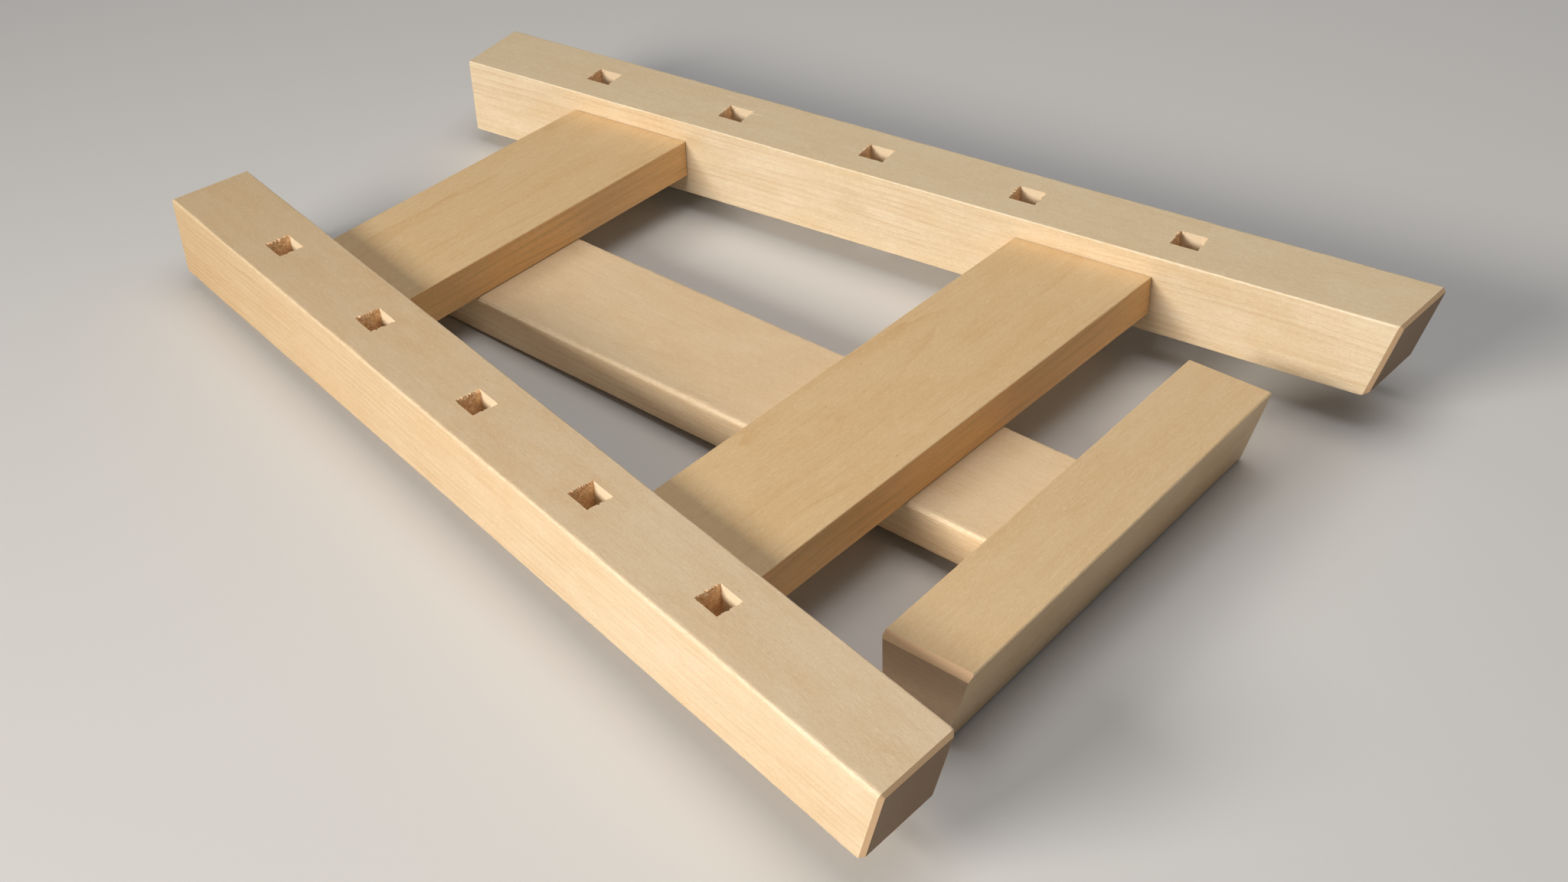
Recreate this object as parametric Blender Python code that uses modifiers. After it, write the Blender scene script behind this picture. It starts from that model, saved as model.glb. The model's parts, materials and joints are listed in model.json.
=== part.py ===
"""A small wooden loom frame that folds flat.

Two square rails splay towards their feet and carry five square peg sockets each. Two flat
cross-boards hold them apart on hidden dowels. A T-shaped rear leg, a flat stem doweled to a
foot bar, hangs under the upper cross-board on two small brass butt hinges with loose pins.
The stem's upper end is cut to a scarf, so that its nose meets the board and stops the leg.

The frame is drawn with X from head to feet, Y across and Z = 0 on the front face of the
rails. One empty then lays the whole loom on the ground, folded, as it rests on its leg.
"""

import math

import bmesh
import bpy
from mathutils import Matrix, Vector

# Clearance between pieces that touch.
GAP = 0.0003

# Rails: square stock, spread and splayed about the centre line.
RAIL_SIZE = 0.040
SPLAY = math.radians(9.3)
HEAD_SPREAD = 0.0913
FRAME_LENGTH = 0.4975
FOOT_BEVEL = math.radians(15.2)
FOOT_CHAMFER = 0.0019

# Square peg sockets, cut right through each rail.
SOCKET_COUNT = 5
SOCKET_FIRST = 0.0732
SOCKET_PITCH = 0.0806
SOCKET_ACROSS = 0.0122
SOCKET_ALONG = 0.0134

# Cross-boards, centred in the depth of the rails.
BOARD_WIDTH = 0.0673
BOARD_THICKNESS = 0.0193
BOARD_INSET = 0.0104
BOARD_STARTS = {"upper": 0.0704, "lower": 0.3181}

# Dowels.
DOWEL_RADIUS = 0.0037
DOWEL_LENGTH = 0.040
DOWEL_CHAMFER = 0.0010
DOWEL_SPACING = 0.030

# Hinges: two equal ones, each with a loose pin.
HINGE_LENGTH = 0.025
HINGE_SPACING = 0.036
LEAF_THICKNESS = 0.0012
LEAF_REACH = 0.015
KNUCKLE_RADIUS = 0.0025
KNUCKLE_SIDES = 24
MIDDLE_KNUCKLE = 0.0084
PIN_RADIUS = 0.0011
PIN_HEAD_RADIUS = 0.0019
PIN_HEAD_HEIGHT = 0.0010

# Countersunk screws, two in each leaf.
SCREW_HEAD_RADIUS = 0.0026
SCREW_RADIUS = 0.0014
SCREW_LENGTH = 0.0090
SCREW_POINT = 0.0018
SCREW_SLOT_WIDTH = 0.0007
SCREW_SLOT_DEPTH = 0.0005
SCREW_SPACING = 0.0156
SCREW_REACH = 0.0092

# Rear leg, drawn about its hinge axis.
LEG_OPENING = math.radians(30.0)
LEG_SKEW = math.radians(1.8)
PIVOT_X = 0.1100
PIVOT_Y = -0.0157
STEM_WIDTH = 0.0671
STEM_REACH = 0.3209
STEM_EASING = 0.0015
NOSE_HEIGHT = 0.0030
BAR_SIZE = 0.040
BAR_LENGTH = 0.2166
BAR_RISE = 0.0125
BAR_OFFSET = -0.0027
BAR_END_CHAMFER = 0.0028
BAR_DOWEL_SPACING = 0.034

# Values that follow from the driving dimensions.
BOARD_UNDERSIDE = -(BOARD_INSET + BOARD_THICKNESS)
PIVOT_Z = BOARD_UNDERSIDE - KNUCKLE_RADIUS - GAP
STEM_TOP = KNUCKLE_RADIUS
STEM_BOTTOM = STEM_TOP - BOARD_THICKNESS
BAR_TOP = STEM_TOP + BAR_RISE
BAR_BOTTOM = BAR_TOP - BAR_SIZE

CUTTER_MARGIN = 0.002


# ---------------------------------------------------------------- scene and materials

def clear_scene():
    for old in list(bpy.data.objects):
        bpy.data.objects.remove(old, do_unlink=True)


def new_collection(name, hidden=False):
    collection = bpy.data.collections.new(name)
    collection.hide_render = hidden
    bpy.context.scene.collection.children.link(collection)
    return collection


def new_material(name, colour, roughness, metallic=0.0):
    material = bpy.data.materials.new(name)
    material.use_nodes = True
    shader = material.node_tree.nodes["Principled BSDF"]
    shader.inputs["Base Color"].default_value = (*colour, 1.0)
    shader.inputs["Roughness"].default_value = roughness
    shader.inputs["Metallic"].default_value = metallic
    return material


def make_materials():
    return {
        "rail": new_material("rail_wood", (0.72, 0.56, 0.38), 0.55),
        "board": new_material("board_wood", (0.74, 0.58, 0.39), 0.55),
        "leg": new_material("leg_wood", (0.73, 0.56, 0.37), 0.55),
        "dowel": new_material("dowel_wood", (0.66, 0.48, 0.29), 0.60),
        "hinge": new_material("hinge_brass", (0.72, 0.53, 0.24), 0.35, 1.0),
        "fastener": new_material("fastener_brass", (0.66, 0.49, 0.24), 0.40, 1.0),
    }


# ---------------------------------------------------------------- shapes

class Shop:
    """Where finished pieces and cutters are put."""

    def __init__(self):
        self.pieces = new_collection("folding_loom_frame")
        self.cutters = new_collection("cutters", hidden=True)
        self.materials = make_materials()

    def empty(self, name, parent=None, location=(0.0, 0.0, 0.0), rotation=(0.0, 0.0, 0.0)):
        marker = bpy.data.objects.new(name, None)
        self.pieces.objects.link(marker)
        return place(marker, parent, location, rotation)

    def piece(self, name, mesh, material, parent, location=(0, 0, 0), rotation=(0, 0, 0)):
        mesh.materials.append(self.materials[material])
        made = bpy.data.objects.new(name, mesh)
        self.pieces.objects.link(made)
        return place(made, parent, location, rotation)

    def cutter(self, name, mesh, parent, location=(0, 0, 0), rotation=(0, 0, 0)):
        made = bpy.data.objects.new(name, mesh)
        made.hide_render = True
        made.display_type = "WIRE"
        self.cutters.objects.link(made)
        return place(made, parent, location, rotation)


def place(item, parent, location, rotation):
    item.parent = parent
    item.location = location
    item.rotation_euler = rotation
    return item


def combine(item, other, operation="DIFFERENCE"):
    modifier = item.modifiers.new(other.name, "BOOLEAN")
    modifier.operation = operation
    modifier.solver = "EXACT"
    modifier.object = other


def box_mesh(name, low, high):
    """A box between two corners."""
    low = Vector(low)
    high = Vector(high)
    size = high - low
    bm = bmesh.new()
    bmesh.ops.create_cube(bm, size=1.0)
    bmesh.ops.scale(bm, vec=size, verts=bm.verts)
    bmesh.ops.translate(bm, vec=(low + high) / 2, verts=bm.verts)
    return finished_mesh(bm, name)


def finished_mesh(bm, name):
    mesh = bpy.data.meshes.new(name)
    bm.to_mesh(mesh)
    bm.free()
    return mesh


def cylinder_mesh(name, radius, low, high, sides):
    """A cylinder along Y from low to high."""
    bm = bmesh.new()
    turn = Matrix.Rotation(math.pi / 2, 4, "X")
    shift = Matrix.Translation((0.0, (low + high) / 2, 0.0))
    bmesh.ops.create_cone(bm, cap_ends=True, segments=sides, radius1=radius, radius2=radius,
                          depth=high - low, matrix=shift @ turn)
    mesh = finished_mesh(bm, name)
    shade_round(mesh)
    return mesh


def shade_round(mesh):
    mesh.shade_smooth()
    mesh.set_sharp_from_angle(angle=math.radians(40.0))


def add_turning(item, steps):
    """Turn the object's profile, drawn at +X from top to bottom, about its own Z."""
    screw = item.modifiers.new("turned", "SCREW")
    screw.steps = steps
    screw.render_steps = steps
    screw.use_merge_vertices = True
    screw.merge_threshold = 0.00001


def profile_mesh(name, outline):
    """An open chain of (radius, height) points in the XZ plane."""
    points = [(radius, 0.0, height) for radius, height in outline]
    edges = [(i, i + 1) for i in range(len(points) - 1)]
    mesh = bpy.data.meshes.new(name)
    mesh.from_pydata(points, edges, [])
    return mesh


def edit_mesh(mesh, change):
    """Run change on the mesh as a bmesh and write the result back."""
    bm = bmesh.new()
    bm.from_mesh(mesh)
    change(bm)
    bm.to_mesh(mesh)
    bm.free()


def bevel_where(bm, chosen, width):
    """Chamfer each edge for which chosen(middle, direction) is true."""
    edges = []
    for edge in bm.edges:
        start, end = (vertex.co for vertex in edge.verts)
        if chosen((start + end) / 2, (end - start).normalized()):
            edges.append(edge)
    bmesh.ops.bevel(bm, geom=edges, offset=width, offset_type="OFFSET", segments=1,
                    profile=0.5, affect="EDGES")


# ---------------------------------------------------------------- rails and cross-boards

def inner_face_y(x):
    """Distance from the centre line to a rail's inner face, x from the head."""
    return HEAD_SPREAD + x * math.tan(SPLAY) - RAIL_SIZE / 2 / math.cos(SPLAY)


def rail_mesh(name, angle):
    """One rail about its own axis, its foot cut parallel to the cross-boards and bevelled."""
    half = RAIL_SIZE / 2
    mesh = box_mesh(name, (0.0, -half, -RAIL_SIZE), (FRAME_LENGTH, half, 0.0))

    def cut_foot(bm):
        for vertex in bm.verts:
            if vertex.co.x > FRAME_LENGTH / 2:
                across = vertex.co.y * math.sin(angle)
                reach = FRAME_LENGTH + vertex.co.z * math.tan(FOOT_BEVEL)
                vertex.co.x = (reach + across) / math.cos(angle)
        bevel_where(bm, at_foot, FOOT_CHAMFER)

    def at_foot(middle, direction):
        return middle.x > FRAME_LENGTH * 0.9 and abs(direction.x) < 0.9

    edit_mesh(mesh, cut_foot)
    return mesh


def make_rail(shop, frame, name, side):
    angle = side * SPLAY
    start = (0.0, side * HEAD_SPREAD, 0.0)
    rail = shop.piece(name, rail_mesh(name, angle), "rail", frame, start, (0.0, 0.0, angle))
    low = (-SOCKET_ALONG / 2, -SOCKET_ACROSS / 2, -RAIL_SIZE - CUTTER_MARGIN)
    high = (SOCKET_ALONG / 2, SOCKET_ACROSS / 2, CUTTER_MARGIN)
    for i in range(SOCKET_COUNT):
        cutter_name = f"{name}_socket_{i + 1}"
        socket = shop.cutter(cutter_name, box_mesh(cutter_name, low, high), frame)
        along = SOCKET_FIRST + i * SOCKET_PITCH
        x = along * math.cos(angle)
        y = side * HEAD_SPREAD + along * math.sin(angle)
        place(socket, frame, (x, y, 0.0), (0.0, 0.0, angle))
        combine(rail, socket)
    return rail


def make_crossboard(shop, frame, name, start):
    low = (start, -1.0, BOARD_UNDERSIDE)
    high = (start + BOARD_WIDTH, 1.0, -BOARD_INSET)
    mesh = box_mesh(name, low, high)
    slack = GAP / math.cos(SPLAY)

    def fit_between_rails(bm):
        for vertex in bm.verts:
            vertex.co.y *= inner_face_y(vertex.co.x) - slack

    edit_mesh(mesh, fit_between_rails)
    return shop.piece(name, mesh, "board", frame)


# ---------------------------------------------------------------- dowels

def dowel_outline(radius, half, chamfer):
    return [(0.0, half), (radius - chamfer, half), (radius, half - chamfer),
            (radius, chamfer - half), (radius - chamfer, -half), (0.0, -half)]


def make_dowel(shop, name, parent, centre, rotation, joined):
    """A chamfered dowel, with a hole for it in both joined pieces."""
    half = DOWEL_LENGTH / 2
    outline = dowel_outline(DOWEL_RADIUS, half, DOWEL_CHAMFER)
    mesh = profile_mesh(name, outline)
    dowel = shop.piece(name, mesh, "dowel", parent, centre, rotation)
    add_turning(dowel, 20)
    hole_outline = dowel_outline(DOWEL_RADIUS + GAP, half + GAP, DOWEL_CHAMFER)
    hole_name = f"{name}_hole"
    hole = shop.cutter(hole_name, profile_mesh(hole_name, hole_outline), parent, centre, rotation)
    add_turning(hole, 20)
    for item in joined:
        combine(item, hole)


def make_board_dowels(shop, frame, board, rails, label, start):
    middle = start + BOARD_WIDTH / 2
    z = (BOARD_UNDERSIDE - BOARD_INSET) / 2
    for side_name, side in (("left", -1), ("right", 1)):
        for number, offset in ((1, -DOWEL_SPACING / 2), (2, DOWEL_SPACING / 2)):
            x = middle + offset
            centre = (x, side * inner_face_y(x), z)
            name = f"dowel_{label}_{side_name}_{number}"
            joined = (board, rails[side_name])
            make_dowel(shop, name, frame, centre, (math.pi / 2, 0.0, 0.0), joined)


# ---------------------------------------------------------------- rear leg

def nose_reach():
    """Length from the hinge axis to the nose, so that the nose stops at LEG_OPENING."""
    depth = -(STEM_BOTTOM + NOSE_HEIGHT)
    return (KNUCKLE_RADIUS + depth * math.cos(LEG_OPENING)) / math.sin(LEG_OPENING)


def scarf_angle():
    """Slope of the scarf, which clears the knuckles by one gap and ends at the nose."""
    depth = -(STEM_BOTTOM + NOSE_HEIGHT)
    reach = nose_reach()
    distance = math.hypot(reach, depth)
    return math.atan2(depth, reach) - math.asin((KNUCKLE_RADIUS + GAP) / distance)


def make_stem(shop, leg):
    name = "leg_stem"
    half = STEM_WIDTH / 2
    mesh = box_mesh(name, (-nose_reach(), -half, STEM_BOTTOM), (STEM_REACH, half, STEM_TOP))

    def long_top_edge(middle, direction):
        return abs(direction.x) > 0.9 and middle.z > STEM_TOP / 2

    edit_mesh(mesh, lambda bm: bevel_where(bm, long_top_edge, STEM_EASING))
    stem = shop.piece(name, mesh, "leg", leg)
    slope = scarf_angle()
    clear = KNUCKLE_RADIUS + GAP
    foot = (clear * math.sin(slope), 0.0, -clear * math.cos(slope))
    cutter_mesh = box_mesh("scarf", (-0.08, -STEM_WIDTH, 0.0), (0.08, STEM_WIDTH, 0.05))
    scarf = shop.cutter("scarf", cutter_mesh, leg, foot, (0.0, -slope, 0.0))
    combine(stem, scarf)
    return stem


def make_foot_bar(shop, leg):
    name = "leg_foot_bar"
    near = STEM_REACH + GAP
    low = (near, BAR_OFFSET - BAR_LENGTH / 2, BAR_BOTTOM)
    high = (near + BAR_SIZE, BAR_OFFSET + BAR_LENGTH / 2, BAR_TOP)
    mesh = box_mesh(name, low, high)

    def shape_bar(bm):
        for vertex in bm.verts:
            if vertex.co.x > near + BAR_SIZE / 2:
                vertex.co.x += (vertex.co.z - BAR_TOP) * math.tan(FOOT_BEVEL)
        bevel_where(bm, left_top_edge, BAR_END_CHAMFER)

    def left_top_edge(middle, direction):
        return abs(direction.x) > 0.9 and middle.y < 0.0 and middle.z > 0.0

    edit_mesh(mesh, shape_bar)
    return shop.piece(name, mesh, "leg", leg)


def make_leg(shop, leg):
    stem = make_stem(shop, leg)
    bar = make_foot_bar(shop, leg)
    z = (STEM_TOP + STEM_BOTTOM) / 2
    for number, y in ((1, -BAR_DOWEL_SPACING / 2), (2, BAR_DOWEL_SPACING / 2)):
        centre = (STEM_REACH, y, z)
        turn = (0.0, math.pi / 2, 0.0)
        make_dowel(shop, f"dowel_foot_bar_{number}", leg, centre, turn, (stem, bar))
    return stem


# ---------------------------------------------------------------- hinges

def screw_outline(offset):
    """Outline of a screw, head at Z = 0 and point down, grown by an offset."""
    head = SCREW_HEAD_RADIUS + offset * math.sqrt(2.0)
    neck = SCREW_HEAD_RADIUS - SCREW_RADIUS
    shank = SCREW_RADIUS + offset
    shoulder = neck + offset * (math.sqrt(2.0) - 1.0)
    taper = SCREW_POINT - SCREW_LENGTH
    return [(0.0, 0.0), (head, 0.0), (shank, -shoulder), (shank, taper),
            (0.0, -SCREW_LENGTH - offset)]


def make_screw(shop, name, hinge, place_at, turn, joined):
    """A countersunk screw, with its countersink and pilot hole in both joined pieces."""
    mesh = profile_mesh(name, screw_outline(0.0))
    screw = shop.piece(name, mesh, "fastener", hinge, place_at, turn)
    add_turning(screw, 16)
    low = (-SCREW_HEAD_RADIUS * 1.2, -SCREW_SLOT_WIDTH / 2, -SCREW_SLOT_DEPTH)
    high = (SCREW_HEAD_RADIUS * 1.2, SCREW_SLOT_WIDTH / 2, CUTTER_MARGIN)
    slot_mesh = box_mesh(f"{name}_slot", low, high)
    combine(screw, shop.cutter(f"{name}_slot", slot_mesh, hinge, place_at, turn))
    hole = shop.cutter(f"{name}_hole", hole_mesh(f"{name}_hole"), hinge, place_at, turn)
    add_turning(hole, 16)
    for item in joined:
        combine(item, hole)


def hole_mesh(name):
    """The screw's outline with clearance, opened upwards past the face of the leaf."""
    outline = screw_outline(GAP)
    mouth = outline[1][0]
    return profile_mesh(name, [(0.0, CUTTER_MARGIN / 4), (mouth, CUTTER_MARGIN / 4)] + outline[1:])


def knuckle_spans(moving):
    """Stretches along the axis that belong to one leaf."""
    middle = MIDDLE_KNUCKLE / 2
    if moving:
        return [(-middle, middle)]
    inner = middle + GAP
    return [(-HINGE_LENGTH / 2, -inner), (inner, HINGE_LENGTH / 2)]


def make_leaf(shop, name, hinge, moving):
    """One leaf about the hinge axis, its plate at -X. The moving leaf is the lower one."""
    lift = -1.0 if moving else 1.0
    half = HINGE_LENGTH / 2
    faces = sorted((lift * KNUCKLE_RADIUS, lift * (KNUCKLE_RADIUS - LEAF_THICKNESS)))
    mesh = box_mesh(name, (-LEAF_REACH, -half, faces[0]), (0.0, half, faces[1]))
    leaf = shop.piece(name, mesh, "hinge", hinge)
    notch = KNUCKLE_RADIUS + GAP
    for number, (start, end) in enumerate(knuckle_spans(not moving), 1):
        low = (-notch, start - GAP, -2 * notch)
        high = (notch, end + GAP, 2 * notch)
        part_name = f"{name}_notch_{number}"
        combine(leaf, shop.cutter(part_name, box_mesh(part_name, low, high), hinge))
    for number, (start, end) in enumerate(knuckle_spans(moving), 1):
        part_name = f"{name}_knuckle_{number}"
        mesh = cylinder_mesh(part_name, KNUCKLE_RADIUS, start, end, KNUCKLE_SIDES)
        combine(leaf, shop.cutter(part_name, mesh, hinge), "UNION")
    bore_name = f"{name}_bore"
    bore = cylinder_mesh(bore_name, PIN_RADIUS + GAP, -HINGE_LENGTH, HINGE_LENGTH, KNUCKLE_SIDES)
    combine(leaf, shop.cutter(bore_name, bore, hinge))
    return leaf


def make_pin(shop, name, hinge):
    """A loose pin with a low head, which stands just proud of the knuckles."""
    half = HINGE_LENGTH / 2
    top = half + GAP
    outline = [(0.0, top + PIN_HEAD_HEIGHT), (PIN_HEAD_RADIUS * 0.6, top + PIN_HEAD_HEIGHT),
               (PIN_HEAD_RADIUS, top + PIN_HEAD_HEIGHT / 2), (PIN_HEAD_RADIUS, top),
               (PIN_RADIUS, top), (PIN_RADIUS, -half), (0.0, -half - PIN_RADIUS / 2)]
    mesh = profile_mesh(name, outline)
    pin = shop.piece(name, mesh, "fastener", hinge, (0, 0, 0), (-math.pi / 2, 0.0, 0.0))
    add_turning(pin, KNUCKLE_SIDES)
    return pin


def make_hinge(shop, leg_axis, label, y, board, stem):
    """One butt hinge between the cross-board's underside and the stem's scarf."""
    slope = scarf_angle()
    fixed_side = shop.empty(f"hinge_{label}_fixed", leg_axis, (0.0, y, 0.0))
    moving_side = shop.empty(f"hinge_{label}_moving", leg_axis, (0.0, y, 0.0), (0.0, -slope, 0.0))
    fixed = make_leaf(shop, f"hinge_{label}_fixed_leaf", fixed_side, moving=False)
    moving = make_leaf(shop, f"hinge_{label}_moving_leaf", moving_side, moving=True)
    make_pin(shop, f"hinge_{label}_pin", fixed_side)
    inner = KNUCKLE_RADIUS - LEAF_THICKNESS
    for number, offset in ((1, -SCREW_SPACING / 2), (2, SCREW_SPACING / 2)):
        upward = (-SCREW_REACH, offset, inner)
        downward = (-SCREW_REACH, offset, -inner)
        name = f"hinge_{label}_screw"
        make_screw(shop, f"{name}_{number}", fixed_side, upward, (math.pi, 0, 0), (fixed, board))
        make_screw(shop, f"{name}_{number + 2}", moving_side, downward, (0, 0, 0), (moving, stem))


# ---------------------------------------------------------------- the whole loom

def resting_pose():
    """Turn and shift that lay the folded loom on its nose and foot bar, centred in X."""
    drop = STEM_BOTTOM - BAR_BOTTOM
    run = STEM_REACH + GAP + nose_reach()
    leg_across = Vector((-math.sin(LEG_SKEW), math.cos(LEG_SKEW), 0.0))
    turn = Matrix.Rotation(-math.atan2(drop, run), 4, leg_across)
    along = Vector((math.cos(LEG_SKEW), math.sin(LEG_SKEW), 0.0))
    nose = Vector((PIVOT_X, PIVOT_Y, PIVOT_Z + STEM_BOTTOM)) - along * nose_reach()
    head = turn @ Vector((-RAIL_SIZE / 2 * math.sin(SPLAY), 0.0, 0.0))
    foot = turn @ Vector((FRAME_LENGTH - FOOT_CHAMFER * math.sin(FOOT_BEVEL), 0.0,
                          -FOOT_CHAMFER * math.cos(FOOT_BEVEL)))
    lift = -(turn @ nose).z
    return Matrix.Translation((-(head.x + foot.x) / 2, 0.0, lift)) @ turn


def main():
    clear_scene()
    shop = Shop()
    frame = shop.empty("frame_on_ground")
    frame.matrix_world = resting_pose()
    leg_axis = shop.empty("leg_axis", frame, (PIVOT_X, PIVOT_Y, PIVOT_Z), (0, 0, LEG_SKEW))

    rails = {
        "left": make_rail(shop, frame, "left_rail", -1),
        "right": make_rail(shop, frame, "right_rail", 1),
    }
    boards = {}
    for label, start in BOARD_STARTS.items():
        boards[label] = make_crossboard(shop, frame, f"{label}_crossboard", start)
        make_board_dowels(shop, frame, boards[label], rails, label, start)

    stem = make_leg(shop, leg_axis)
    for label, side in (("left", -1), ("right", 1)):
        make_hinge(shop, leg_axis, label, side * HINGE_SPACING / 2, boards["upper"], stem)
    bpy.context.view_layer.update()


main()
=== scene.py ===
"""Looks of the folding loom frame: detailed wooden pieces, brass hinges, light and camera."""

import json
import math

import bmesh
import bpy
from mathutils import Matrix, Vector, noise


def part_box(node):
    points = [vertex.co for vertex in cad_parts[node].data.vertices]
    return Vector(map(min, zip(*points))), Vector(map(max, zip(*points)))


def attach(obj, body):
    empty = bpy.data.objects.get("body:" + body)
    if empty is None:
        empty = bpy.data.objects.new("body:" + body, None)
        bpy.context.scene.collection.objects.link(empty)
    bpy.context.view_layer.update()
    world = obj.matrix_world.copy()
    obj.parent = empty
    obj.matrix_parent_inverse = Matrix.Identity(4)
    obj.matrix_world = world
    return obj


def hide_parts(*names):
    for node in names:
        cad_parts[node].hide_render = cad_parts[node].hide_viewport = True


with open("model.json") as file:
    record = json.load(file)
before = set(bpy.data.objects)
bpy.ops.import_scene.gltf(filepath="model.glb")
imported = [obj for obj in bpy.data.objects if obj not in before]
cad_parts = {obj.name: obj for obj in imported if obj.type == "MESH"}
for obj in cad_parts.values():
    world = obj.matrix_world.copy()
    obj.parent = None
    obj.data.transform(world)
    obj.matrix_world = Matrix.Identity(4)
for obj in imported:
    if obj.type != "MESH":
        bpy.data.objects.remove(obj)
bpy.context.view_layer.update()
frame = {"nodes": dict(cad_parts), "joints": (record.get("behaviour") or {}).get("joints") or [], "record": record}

MM = 0.001

# Driving dimensions, in metres, as in the part's source. NOSE_REACH and SCARF are rounded from
# what the part works out for a leg that opens by 30 degrees.
GAP = 0.0003
RAIL_SIZE = 0.040
SPLAY = math.radians(9.3)
HEAD_SPREAD = 0.0913
FRAME_LENGTH = 0.4975
FOOT_BEVEL = math.radians(15.2)
FOOT_CHAMFER = 0.0019
SOCKET_COUNT = 5
SOCKET_FIRST = 0.0732
SOCKET_PITCH = 0.0806
SOCKET_ACROSS = 0.0122
SOCKET_ALONG = 0.0134
BOARD_WIDTH = 0.0673
BOARD_THICKNESS = 0.0193
BOARD_INSET = 0.0104
BOARD_STARTS = {"upper": 0.0704, "lower": 0.3181}
KNUCKLE_RADIUS = 0.0025
STEM_WIDTH = 0.0671
STEM_REACH = 0.3209
NOSE_REACH = 0.0289
SCARF = math.radians(20.5)
BAR_SIZE = 0.040
BAR_LENGTH = 0.2166
BAR_RISE = 0.0125
BAR_OFFSET = -0.0027
BAR_END_CHAMFER = 0.0028
STEM_TOP = KNUCKLE_RADIUS
STEM_BOTTOM = STEM_TOP - BOARD_THICKNESS
BAR_TOP = STEM_TOP + BAR_RISE

# Radii of the eased arrises. A rail's are its outer front, inner front, inner back and outer
# back ones. The others go round the section from +Y, +Z over -Y, +Z and -Y, -Z to +Y, -Z.
RAIL_EASING = (0.0013, 0.0006, 0.0006, 0.0008)
BOARD_EASING = (0.0005, 0.0005, 0.0004, 0.0004)
STEM_EASING = (0.0022, 0.0022, 0.0008, 0.0008)
BAR_EASING = (0.0006, 0.0010, 0.0005, 0.0005)

# Easings of the ends, and the radius of the corners round a rail's foot.
HEAD_END_EASING = 0.0004
SAWN_END_EASING = 0.0001
NOSE_EASING = 0.0003
BAR_END_EASING = 0.0006
FOOT_ROUNDING = 0.0017

# How a bar's mesh is divided, and how unevenly its arrises are worn.
STATION = 0.0025
ARRIS_STEPS = (0, 24, 66, 90)
SLOW_WEAR_LENGTH = 0.030
FAST_WEAR_LENGTH = 0.0045
WEAR_SHARE = 0.30
LEAST_WEAR = 0.35
RAIL_WEAR_TREND = 0.9

# Walls of a socket in turn: foot, right, head and left. Each says whether it cuts across the
# grain and on which side of the middle it stands.
SOCKET_WALLS = ((True, 1), (False, 1), (True, -1), (False, -1))

# How those walls are divided: points along each, depths below either face in millimetres,
# and depths near the middle in metres.
WALL_POINTS = 34
FINE_LEVELS = (0.0, 0.2, 0.45, 0.8, 1.3, 2.0, 3.0, 4.5, 6.5, 9.0, 12.0)
MIDDLE_LEVELS = (0.016, 0.020, 0.024)

# A face counts as a socket's wall within this distance of its middle, unless its normal
# points up or down more steeply than this.
SOCKET_HALF_REGION = 0.012
WALL_STEEPEST_NORMAL = 0.97

# Roughness and tears of those walls. Heights are in millimetres, widths and depths in metres.
COARSE_HEIGHT = 0.34
FINE_HEIGHT = 0.26
SETTLING_DEPTH = 2.0 * MM
TOOTH_WIDTH = 0.00085
SMALL_TOOTH_WIDTH = 0.00042
SMALL_TOOTH_SHARE = 0.45
PATCH_WIDTH = 0.0024
HEAD_TEAR = 3.4
HEAD_TEAR_LIMIT = 1.6
FOOT_TEAR = 1.5
BACK_TEAR = 2.6
FRONT_TEAR_DEPTH = 0.60 * MM
BACK_TEAR_DEPTH = 0.9 * MM
RAGGED_HEIGHT = 0.9
RAGGED_DEPTH = 6.0 * MM

# Splits at the sockets: number of the socket, Y of the start and length.
CRACKS = {
    "left_rail": ((3, 0.0047, 0.0056), (4, 0.0038, 0.0022), (2, 0.0042, 0.0019)),
    "right_rail": ((1, 0.0040, 0.0110), (4, 0.0035, 0.0030)),
}
CRACK_STEPS = 8
CRACK_HALF_WIDTH = 0.00030
CRACK_DEPTH = 0.0008
CRACK_OVERLAP = 0.0004

# Colours of the wood, linear.
PALE = (0.760, 0.590, 0.385)
WARM = (0.720, 0.520, 0.305)
GREY = (0.640, 0.490, 0.312)
LIGHT = (0.830, 0.680, 0.475)
STREAK = (0.580, 0.370, 0.180)
DEEP = (0.430, 0.270, 0.140)
# Painted warm bounce light, mixed onto the boards' narrow sides.
PAINTED_BOUNCE = (0.920, 0.530, 0.205)
# Top tone of the far rail: keeps its top darker and warmer than its painted pale sides.
FAR_TOP_OUTSIDE_HIGHLIGHT = (0.620, 0.445, 0.245)
SPECK = (0.150, 0.075, 0.035)
CHAMFER = (0.740, 0.485, 0.275)
# Darker end grain at the rails' feet, darkened further as painted shade.
SHADED_RAIL_FOOT = (0.310, 0.190, 0.098)
BAR_END = (0.740, 0.535, 0.365)
FRESH = (0.980, 0.690, 0.410)
TORN = (0.740, 0.380, 0.160)

# Tints that multiply those colours, and the shade of the darker cells of end grain.
PLAIN_TINT = (1.0, 1.0, 1.0)
NEAR_TINT = (0.95, 0.965, 1.0)
# Paints the far rail paler and whiter all over, a painted highlight of its brightly lit sides.
FAR_HIGHLIGHT_TINT = (1.07, 1.15, 1.26)
# Painted shade with a warmer tone towards the near rail's head, where the light falls off.
HEAD_SHADE_TINT = (0.84, 0.77, 0.64)
BOARD_TINT = (1.0, 0.92, 0.78)
STEM_TINT = (1.06, 1.06, 1.06)
BAR_TINT = (1.0, 0.94, 0.84)
END_GRAIN_SHADE = 0.72

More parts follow.
